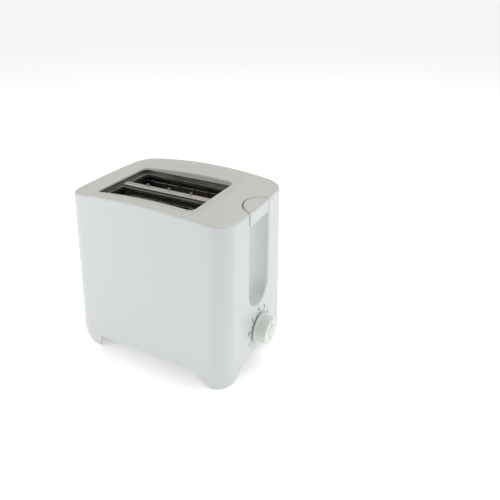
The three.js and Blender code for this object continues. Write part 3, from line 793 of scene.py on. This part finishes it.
def channel_profile(face):
    """(x, distance from the channel's middle): round the back, over the mouth's rounded edge
    and out past the end face."""
    fillet = CHANNEL_EDGE
    lean = math.asin((LEVER_AXIS - face + fillet) / (CHANNEL_RADIUS + fillet))
    points = []
    for t in shares(16):
        angle = (math.pi / 2 - lean) * t
        points.append((LEVER_AXIS - CHANNEL_RADIUS * math.cos(angle), CHANNEL_RADIUS * math.sin(angle)))
    x, edge = points[-1]
    stop = math.radians(80)
    for t in shares(7)[1:]:
        angle = lerp(lean, stop, t)
        across = fillet * (math.cos(lean) - math.cos(angle))
        points.append((x + fillet * (math.sin(angle) - math.sin(lean)), edge + across))
    x, edge = points[-1]
    proud = face + 0.4
    edge += math.tan(stop) * (proud - x)
    return points + [(proud, edge), (HALF_LENGTH + FLARE_X["lever"] + OVERSHOOT, edge)]


def channel_cutter():
    """A round-backed trough swept down one side, round the foot and up the other."""
    stations = [(1, 0, lerp(CLEAR_TOP, CHANNEL_FLOOR, t)) for t in shares(30)[:-1]]
    for t in shares(28):
        angle = math.pi * t
        stations.append((math.cos(angle), -math.sin(angle), CHANNEL_FLOOR))
    stations += [(-1, 0, lerp(CHANNEL_FLOOR, CLEAR_TOP, t)) for t in shares(30)[1:]]
    rings = []
    for side, down, middle in stations:
        face = face_x(CHANNEL_RADIUS * side, middle + CHANNEL_RADIUS * down)
        rings.append([Vector((x, off * side, middle + off * down)) for x, off in channel_profile(face)])
    count = len(rings[0])
    last = (len(rings) - 1) * count
    outside = tuple(range(count - 1, last + count, count))
    top = tuple(range(count)) + tuple(range(last + count - 1, last, -1))
    return through(rings, [outside, top], closed=False)


def notch_cutter():
    """Rounds over the edge where the channel breaks through the top."""
    rings = []
    for depth, growth in flare(NOTCH_EDGE) + [(3.5, -0.6)]:
        radius = CHANNEL_RADIUS + growth
        ring = []
        for angle in round_angles(96):
            x = LEVER_AXIS + radius * math.cos(angle)
            y = radius * math.sin(angle)
            ring.append(Vector((x, y, top_height(x, y) - depth)))
        rings.append(ring)
    return stack([flat_ring(rings[0], CLEAR_TOP)] + rings)


def channel_wall():
    """The solid that leaves a wall of even thickness behind the channel."""
    radius = CHANNEL_RADIUS + WALL
    quarter = [t * math.pi / 2 for t in shares(14)]
    profile = [(radius * math.sin(a), CHANNEL_FLOOR - radius * math.cos(a)) for a in quarter]
    profile += [(radius, CLEAR_TOP), (0, CLEAR_TOP)]
    return turned(profile, (LEVER_AXIS, 0, 0), "z", 56)


def screw_places():
    """The middle of each base screw in plan."""
    return [cad_middle(f"base_screw_{i}").xy for i in range(1, 5)]


def screw_bosses():
    """Posts for the base screws, each with a web to the nearest long face."""
    foot = cad_box("base_plate")[1].z + FIT_GAP
    shapes = []
    for x, y in screw_places():
        shapes.append(bar(BOSS_RADIUS, BOSS_HEIGHT, (x, y, foot), "z", 32))
        reach = sorted([y, math.copysign(PAST_WALL, y)])
        shapes.append(block(x - BOSS_WEB_HALF, x + BOSS_WEB_HALF, *reach, foot, BOSS_WEB_TOP))
    return shapes


def hole_cutters():
    """The tongue's slot, the shaft and cord holes, the tray's mouth and the screws' pilot holes."""
    channel_back = LEVER_AXIS - CHANNEL_RADIUS
    long = 20
    inlet_x = cad_box("cord_inlet")[0].x - OVERSHOOT
    low, high = cad_box("crumb_tray_handle")
    x0, x1 = low.x - TRAY_CLEARANCE, high.x + TRAY_CLEARANCE
    inside = HALF_WIDTH - 14
    base = cad_box("base_plate")[0].z
    cutters = [
        rounded_slot(channel_back - OVERSHOOT, LEVER_AXIS, TONGUE_SLOT_HALF, *tongue_sweep()),
        bar(SHAFT_HOLE, long, (HALF_LENGTH - long / 2, 0, KNOB_HEIGHT)),
        bar(INLET_NECK + FIT_GAP, long, (inlet_x, 0, cad_middle("cord_inlet").z)),
        block(x0, x1, inside, PAST_WALL, FLOOR - 1, high.z + TRAY_CLEARANCE),
    ]
    return cutters + [bar(PILOT_HOLE, 22, (x, y, base), "z", 24) for x, y in screw_places()]


def rounded_slot(x0, x1, half, z0, z1):
    """A prism along x whose section is an upright slot with round ends."""
    outline = rounded_rectangle(-half, half, z0, z1, half * 0.98)
    return stack([[Vector((x, p.x, p.y)) for p in outline] for x in (x0, x1)])


def travel(joint):
    """A sliding joint's range in millimetres."""
    found = next(j for j in frame["joints"] if j["name"] == joint)
    return [limit / MM for limit in found["range_m"]]


def tongue_sweep():
    """Lowest and highest end of the tongue's slot: its square corners clear the slot's round ends."""
    down, up = travel("carriage_slide")
    top = cad_box("carriage_bracket")[1].z
    return top - TONGUE_HEIGHT + down - TONGUE_CLEARANCE, top + up + TONGUE_CLEARANCE


def make_housing():
    lip = prism(opening_outline(LIP_WALL), LIP_BOTTOM, CLEAR_TOP)
    cavity = cut(inner_skin(), lip, dish_body(WALL), channel_wall(), *screw_bosses())
    shell = cut(outer_skin(), cavity, dish_body(0))
    cut(shell, opening_cutter(), channel_cutter(), notch_cutter(), *hole_cutters())
    place(shell, "housing_shell", "main_body", "housing_white", "outer_housing")


# ---- lever and controls


def lever_outline(z):
    """Half of the lever's plan at a height: (x, y, outward direction, edge rounding) from the middle
    of its front, round the corner and along the arc to its back."""
    corner = LEVER_CORNER
    front = face_x(-LEVER_RADIUS, z) - LEVER_SET_BACK
    beyond = front - corner - LEVER_AXIS
    corner_y = math.sqrt((LEVER_RADIUS - corner) ** 2 - beyond**2)
    turn = math.atan2(corner_y, beyond)
    points = []
    for i in range(10):
        y = -corner_y * (i + 0.5) / 10
        points.append((face_x(y, z) - LEVER_SET_BACK, y, 1, 0, EDGE_RADIUS))
    for t in shares(8):
        nx, ny = math.cos(t * turn), -math.sin(t * turn)
        rounding = lerp(EDGE_RADIUS, LEVER_ARC_EDGE, smoothstep(t))
        points.append((front - corner + corner * nx, -corner_y + corner * ny, nx, ny, rounding))
    for i in range(1, 32):
        angle = lerp(turn, math.pi, (i - 0.5) / 31)
        nx, ny = math.cos(angle), -math.sin(angle)
        points.append((LEVER_AXIS + LEVER_RADIUS * nx, LEVER_RADIUS * ny, nx, ny, LEVER_ARC_EDGE))
    return points


def lever_hem_ring(inset, z):
    """A level ring of the lever's rounded underside."""
    return [Vector((x - nx * inset, y - ny * inset, z)) for x, y, nx, ny, _ in lever_outline(z)]


def lever_ring(inset_share, height_at):
    """A ring of the lever above its underside, with its front on the leaning end face.  height_at
    gives a point's height from its rounding and the height of the top over it."""
    bottom = cad_box("lever_knob")[0].z
    ring = []
    for x, y, nx, ny, rounding in lever_outline(bottom):
        z = height_at(rounding, top_height(x, y))
        lean = max(nx, 0) * (face_x(y, z) - face_x(y, bottom))
        inset = rounding * inset_share
        ring.append(Vector((x + lean - nx * inset, y - ny * inset, z)))
    return ring


def make_lever():
    """The half-round lever, flush with the end face and the top, and its pocket for the tongue."""
    bottom = cad_box("lever_knob")[0].z
    hem = LEVER_HEM
    halves = []
    for inward, rise in quarter_round(4):
        halves.append(lever_hem_ring(hem * inward, bottom + hem * rise))
    for t in shares(8)[1:]:
        halves.append(lever_ring(0, lambda edge, top, t=t: lerp(bottom + hem, top - edge, t)))
    for drop, inward in quarter_round(8)[1:]:
        halves.append(lever_ring(inward, lambda edge, top, drop=drop: top - edge * drop))
    tip = cad_box("carriage_bracket")[1]
    behind = LEVER_AXIS - LEVER_RADIUS - OVERSHOOT
    half = TONGUE_HALF_WIDTH + FIT_GAP
    under = tip.z - TONGUE_HEIGHT - FIT_GAP
    pocket = block(behind, tip.x + FIT_GAP, -half, half, under, tip.z + FIT_GAP)
    place(cut(mirrored_loft(halves), pocket), "lever_cap", "carriage", "housing_white", "lever_knob")


def make_knob():
    """A tapered knob with a skirt round its back, a rolled rim and a raised pointer."""
    low, high = cad_box("browning_knob")
    side, face = KNOB_SIDE, high.x - low.x - POINTER_RISE
    profile = filleted([
        (KNOB_BORE, 0), (side, 0, 0.3), (side, 2.3, 0.7), (side - 1.2, 3.1, 0.5),
        (side - 1.9, face, 2.6), (BUTTON_HOLE, face, 0.5), (BUTTON_HOLE, KNOB_RECESS, 0.2),
        (KNOB_BORE, KNOB_RECESS, 0), (KNOB_BORE, 0),
    ])
    knob = turned(profile, (low.x, 0, KNOB_HEIGHT), sides=96)
    near, far = KNOB_HEIGHT + 9.2, KNOB_HEIGHT + side - 3.6
    outline = rounded_rectangle(-POINTER_HALF, POINTER_HALF, near, far, 0.8, 6)
    rings = [(face - 1.2, 0), (face + POINTER_RISE / 2, 0), (face + POINTER_RISE, 0.25)]
    pointer = stack([[Vector((low.x + x, p.x * (1 - inset), p.y)) for p in outline] for x, inset in rings])
    place(join(knob, pointer), "control_knob", "knob", "control_grey", "browning_knob")


def make_cancel_button():
    """Push button with a shallow dish in its face, and its stem."""
    low, high = cad_box("cancel_button")
    face = high.x
    flange = cad_box("browning_knob")[0].x + KNOB_RECESS + 3
    profile = filleted([
        (0, low.x), (BUTTON_STEM, low.x, 0.3), (BUTTON_STEM, flange, 0), (BUTTON_SIDE, flange, 0.3),
        (BUTTON_SIDE, face - 1, 0.9), (5.6, face - 0.15, 1.2), (3.2, face - 0.6, 1.4), (0, face - 0.75),
    ])
    button = turned(profile, (0, 0, KNOB_HEIGHT))
    place(button, "cancel_push_button", "button", "control_grey", "cancel_button")


def glyph(text):
    """The flat outline of a character as a mesh, its middle at the origin, one unit high."""
    curve = bpy.data.curves.new("glyph", "FONT")
    curve.body = text
    curve.align_x = "CENTER"
    curve.align_y = "CENTER"
    curve.extrude = 0.02
    curve.offset = 0.02
    obj = linked("glyph", curve)
    graph = bpy.context.evaluated_depsgraph_get()
    mesh = bpy.data.meshes.new_from_object(obj.evaluated_get(graph))
    bpy.data.objects.remove(obj)
    bpy.data.curves.remove(curve)
    return mesh


def on_end_face(y, z, lift):
    return Vector((face_x(y, z) + lift, y, z))


def from_knob(half_steps):
    """Direction across and up the end face, a number of half steps of the dial from its top."""
    angle = math.radians(half_steps * NUMBER_STEP / 2)
    return Vector((math.sin(angle), math.cos(angle)))


def make_tick(away):
    """A short printed line that points at the knob's axis."""
    across = Vector((away.y, -away.x)) * TICK_WIDTH / 2
    near, far = away * TICK_NEAR, away * TICK_FAR
    corners = [near - across, near + across, far + across, far - across]
    return stack([[on_end_face(p.x, KNOB_HEIGHT + p.y, lift) for p in corners] for lift in (0.01, 0.05)])


def make_number(text, away):
    """A number that follows the end face."""
    mesh = glyph(text)
    middle = away * NUMBER_RING
    for vertex in mesh.vertices:
        y = middle.x + vertex.co.x * NUMBER_SIZE
        z = KNOB_HEIGHT + middle.y + vertex.co.y * NUMBER_SIZE
        vertex.co = on_end_face(y, z, 0.02 + vertex.co.z)
    return linked("number", mesh)


def print_on_housing(mark, name):
    place(mark, name, "main_body", "black_plastic")
    mark.data.materials[0] = DIAL_PRINT


def make_dial_marks():
    """The ring of numbers round the knob, and ticks at them and halfway, printed on the end face."""
    first = 1 - NUMBER_COUNT
    for i in range(2 * NUMBER_COUNT - 1):
        print_on_housing(make_tick(from_knob(first + i)), f"dial_tick_{i + 1}")
    for i in range(NUMBER_COUNT):
        text = str(i + 1)
        print_on_housing(make_number(text, from_knob(first + 2 * i)), f"dial_number_{text}")


# ---- top of the chamber


def slot_limits(side):
    """x0, x1, y0 and y1 of a bread slot."""
    x0, x1, _, _ = opening_limits()
    middle = side * SLOT_MIDDLE
    start, end = x0 + SLOT_END_GAP["cord"], x1 - SLOT_END_GAP["lever"]
    return start, end, middle - SLOT_WIDTH / 2, middle + SLOT_WIDTH / 2


def slot_cutter(side, floor):
    """Cuts a slot whose upper edge is rolled over."""
    rings = []
    for depth, growth in flare(0.8, 4) + [(20, 0)]:
        rings.append(flat_ring(grown_rectangle(slot_limits(side), growth, SLOT_CORNER, 6), floor - depth))
    return stack(rings)


def pan_rings(growth, bottom, rounding, steps, top):
    """Rings of the pan's outside or inside: its foot is rounded, its walls stand past the opening."""
    rings = []
    for inward, rise in quarter_round(steps):
        rings.append(flat_ring(opening_outline(growth - rounding * inward, 1), bottom + rounding * rise))
    return rings + [flat_ring(opening_outline(growth, 1), top)]


def make_slot_plate():
    """Pressed pan with a rounded foot, and slots whose edges are turned down."""
    low, high = cad_box("slot_plate")
    outside = stack(pan_rings(PLATE_REACH, low.z, 1.4, 5, high.z))
    inside = stack(pan_rings(PLATE_REACH - SHEET, low.z + SHEET, 0.6, 4, HEIGHT))
    plate = cut(outside, inside)
    wall, drop = 0.9, 3
    for side in (-1, 1):
        outline = grown_rectangle(slot_limits(side), wall, SLOT_CORNER)
        join(plate, prism(outline, low.z - drop, low.z + SHEET / 2))
        cut(plate, slot_cutter(side, low.z + SHEET))
    place(plate, "slot_pan", "main_body", "steel", "slot_plate")


def make_slot_divider():
    """Crowned cap between the slots, with twisted lock tabs along its back edge."""
    low, high = cad_box("slot_divider")
    top = low.z + DIVIDER_THICKNESS
    half = TAB_WIDTH / 2
    cap = bevelled(block(low.x, high.x, low.y, high.y, low.z, top), 0.9, 4)
    for x in TAB_PLACES:
        tab = bevelled(block(-half, half, -0.5, 0.5, 0, high.z - top + 1), 0.25, 2)
        twist = Matrix.Rotation(math.radians(TAB_TWIST), 4, "Z")
        tab.data.transform(Matrix.Translation((x + half, high.y - half, top - 1)) @ twist)
        join(cap, tab)
    place(cap, "divider_cap", "main_body", "bright_steel", "slot_divider")


def make_guard(node):
    """Welded wire grid: upright wires with rounded tips, on two rails."""
    low, high = cad_box(node)
    radius, foot, head = GUARD_WIRE, GUARD_FOOT, GUARD_HEAD
    tip = radius * 0.7
    away = math.copysign(1, low.y) * (1 if node.endswith("outer") else -1)
    wires_y = low.y + radius if away > 0 else high.y - radius
    rail_y = wires_y + away * radius * 1.6
    rails = [bar(radius, high.x - low.x, (low.x, rail_y, z), sides=16) for z in GUARD_RAILS]
    profile = [(0, foot), (tip, foot + 0.3), (radius, foot + 1)]
    profile += [(radius, head - 1), (tip, head - 0.3), (0, head)]
    places = [GUARD_START + i * GUARD_PITCH for i in range(GUARD_COUNT)]
    wires = [turned(profile, (x, wires_y, 0), "z", 16) for x in places]
    place(join(*rails, *wires), node + "_grid", "main_body", "wire", node)


def make_spring():
    """Coiled return spring between the fixed shelf and the carriage, wound along the CAD spring."""
    low, high = cad_box("return_spring")
    middle = cad_middle("return_spring")
    steps = 28
    count = SPRING_TURNS * steps
    points = []
    for i in range(count + 1):
        angle = 2 * math.pi * i / steps
        across = Vector((math.cos(angle), math.sin(angle))) * SPRING_RADIUS
        z = lerp(low.z + 1, high.z - 1, i / count)
        points.append((middle.x + across.x, middle.y + across.y, z))
    spring = wire(points, SPRING_WIRE, 10)
    dress(spring, "spring_coil", "bright_steel")
    fixed, moving = [(Vector((middle.x, middle.y, z)) + OFFSET) * MM for z in (high.z, low.z)]
    tuple(fixed)
    tuple(moving)
    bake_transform(spring)
    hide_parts("return_spring")


# ---- base, feet, tray and inlet


def make_tray_handle():
    """The tray's front, following the back face, with a finger scoop under it."""
    low, high = cad_box("crumb_tray_handle")
    front = bevelled(block(low.x, high.x, low.y, PAST_WALL, low.z, high.z), 0.6, 3)
    handle = combine(front, [outer_skin()], "INTERSECT")
    start = (SCOOP_START, HALF_WIDTH + FLARE_Y, EDGE_HEIGHT - 0.5)
    scoop = bar(SCOOP_RADIUS, SCOOP_LENGTH, start, sides=64)
    place(cut(handle, scoop), "tray_front", "tray", "housing_white", "crumb_tray_handle")


def make_foot(node):
    """Rubber foot: a post, a narrower sole and three grip grooves under it."""
    low, high = cad_box(node)
    height = high.z - low.z
    limits = (low.x, high.x, low.y, high.y)
    rings = []
    for rise, inset in ((0, 1.3), (0.35, 0.8), (1.8, 0.8), (2.2, 0), (height - 0.5, 0), (height, 0.5)):
        rings.append(flat_ring(grown_rectangle(limits, -inset, FOOT_CORNER), low.z + rise))
    foot = stack(rings)
    middle = cad_middle(node).x
    for x in (middle - GROOVE_PITCH, middle, middle + GROOVE_PITCH):
        x0, x1 = x - GROOVE_HALF, x + GROOVE_HALF
        cut(foot, block(x0, x1, low.y - 1, high.y + 1, low.z - 1, low.z + 0.5))
    place(foot, node + "_rubber", "main_body", "foot_rubber", node, angle=25)


def make_screw(node):
    """Pan head screw with a cross recess."""
    low, high = cad_box(node)
    x, y = (low.x + high.x) / 2, (low.y + high.y) / 2
    seat = low.z + 1.6
    profile = filleted([(0, low.z), (3.0, low.z + 0.1, 1.2), (SCREW_HEAD, seat, 0.3), (SCREW_SHANK, seat)])
    profile += [(SCREW_SHANK, high.z - 1), (0.3, high.z), (0, high.z)]
    screw = turned(profile, (x, y, 0), "z", 40)
    for half_x, half_y in ((CROSS_REACH, CROSS_HALF), (CROSS_HALF, CROSS_REACH)):
        cut(screw, block(x - half_x, x + half_x, y - half_y, y + half_y, low.z - 1, low.z + 1))
    place(screw, node + "_cross_head", "main_body", "steel", node)


def make_inlet():
    """Bush that lines the cord's way in, its mouth rounded."""
    low, high = cad_box("cord_inlet")
    lip, rim = low.x + 3, low.x + INLET_RIM
    profile = filleted([
        (INLET_BORE, lip), (INLET_BORE, low.x, 0.9), (INLET_FLANGE, low.x, 1.1),
        (INLET_FLANGE, rim, 0.3), (INLET_NECK, rim, 0.2), (INLET_NECK, high.x, 0.4),
        (INLET_BORE, high.x, 0.2), (INLET_BORE, lip),
    ])
    bush = turned(profile, (0, 0, cad_middle("cord_inlet").z))
    place(bush, "inlet_bush", "main_body", "black_plastic", "cord_inlet")


# ---- CAD nodes that stay


def dress_cad_nodes():
    """Gives each CAD node that still shows its slot's material and softened edges."""
    slots = {part["node"]: part["material_slot"] for part in frame["record"]["subparts"]}
    for name, obj in frame["nodes"].items():
        if obj.hide_render:
            continue
        soften(obj, 0.25 * MM, 2, 40)
        finished(obj, slots[name], SOOTED if name.startswith("reflector") else None)


# ---- stage


def make_floor():
    reach = 40.0
    mesh = bpy.data.meshes.new("floor")
    corners = [(x * reach, y * reach, 0) for x, y in ((-1, -1), (1, -1), (1, 1), (-1, 1))]
    mesh.from_pydata(corners, [], [(0, 1, 2, 3)])
    floor = linked("floor", mesh)
    paint = Paint("floor_white", Specular_IOR_Level=0.2)
    shade = paint.blend(paint.noise(3, 2), (0.93, 0.93, 0.93), (0.96, 0.96, 0.96))
    paint.feed(paint.shader, {"Emission Color": shade, "Emission Strength": 0.48})
    mesh.materials.append(paint.finish(shade, paint.between(paint.noise(20, 2), 0, 1, 0.7, 0.8)))


def make_world():
    """Even studio light: cool round the horizon, weaker and warmer overhead."""
    world = bpy.data.worlds.new("studio")
    bpy.context.scene.world = world
    world.use_nodes = True
    tree = world.node_tree
    kinds = ("TexCoord", "SeparateXYZ", "ValToRGB")
    direction, split, ramp = [tree.nodes.new("ShaderNode" + kind) for kind in kinds]
    tree.links.new(direction.outputs["Generated"], split.inputs[0])
    tree.links.new(split.outputs["Z"], ramp.inputs["Fac"])
    background = tree.nodes["Background"].inputs
    tree.links.new(ramp.outputs["Color"], background["Color"])
    horizon, overhead = ramp.color_ramp.elements
    horizon.color = (0.95, 0.98, 1.0, 1)
    overhead.position = 0.8
    overhead.color = (0.80, 0.785, 0.75, 1)
    background["Strength"].default_value = 0.58


def add_light(name, spot, size, power, colour):
    """A large soft light that faces the toaster's middle."""
    middle = Vector((0, 0, 0.10))
    data = bpy.data.lights.new(name, "AREA")
    data.shape = "RECTANGLE"
    data.size, data.size_y = size
    data.energy = power
    data.color = colour
    light = linked(name, data)
    light.location = spot
    light.rotation_euler = (middle - Vector(spot)).to_track_quat("-Z", "Y").to_euler()


def make_lights():
    add_light("key", (-1.2, -1.25, 0.75), (0.9, 1.1), 9.2, (0.97, 0.985, 1.0))
    add_light("side", (1.6, 0.45, 0.65), (0.9, 1.1), 5.4, (0.97, 0.985, 1.0))
    add_light("top", (0.1, 0.8, 1.6), (1.2, 0.8), 8.5, (1.0, 0.98, 0.94))


def make_camera():
    """The photograph's angle: close by, right of the front face, looking down on the top."""
    azimuth, elevation, roll = math.radians(30.2), math.radians(28.7), math.radians(-0.9)
    target, distance = Vector((0.0188, 0.06, 0.104)), 0.6846
    upright = Matrix.Rotation(azimuth, 3, "Z") @ Matrix.Rotation(math.pi / 2 - elevation, 3, "X")
    data = bpy.data.cameras.new("camera")
    data.lens = 35.65
    data.sensor_width = 36
    data.shift_x = 0.06
    camera = linked("camera", data)
    camera.location = target + upright @ Vector((0, 0, distance))
    camera.rotation_euler = (upright @ Matrix.Rotation(roll, 3, "Z")).to_euler()
    bpy.context.scene.camera = camera


# ---- assembly

make_housing()
make_lever()
make_knob()
make_cancel_button()
make_dial_marks()
make_slot_plate()
make_slot_divider()
for place_name in ("front_outer", "front_inner", "rear_outer", "rear_inner"):
    make_guard("bread_guard_" + place_name)
make_spring()
make_tray_handle()
for number in range(1, 5):
    make_foot(f"foot_pad_{number}")
    make_screw(f"base_screw_{number}")
make_inlet()
dress_cad_nodes()

make_floor()
make_world()
make_lights()
make_camera()
bpy.context.scene.view_settings.view_transform = "Standard"
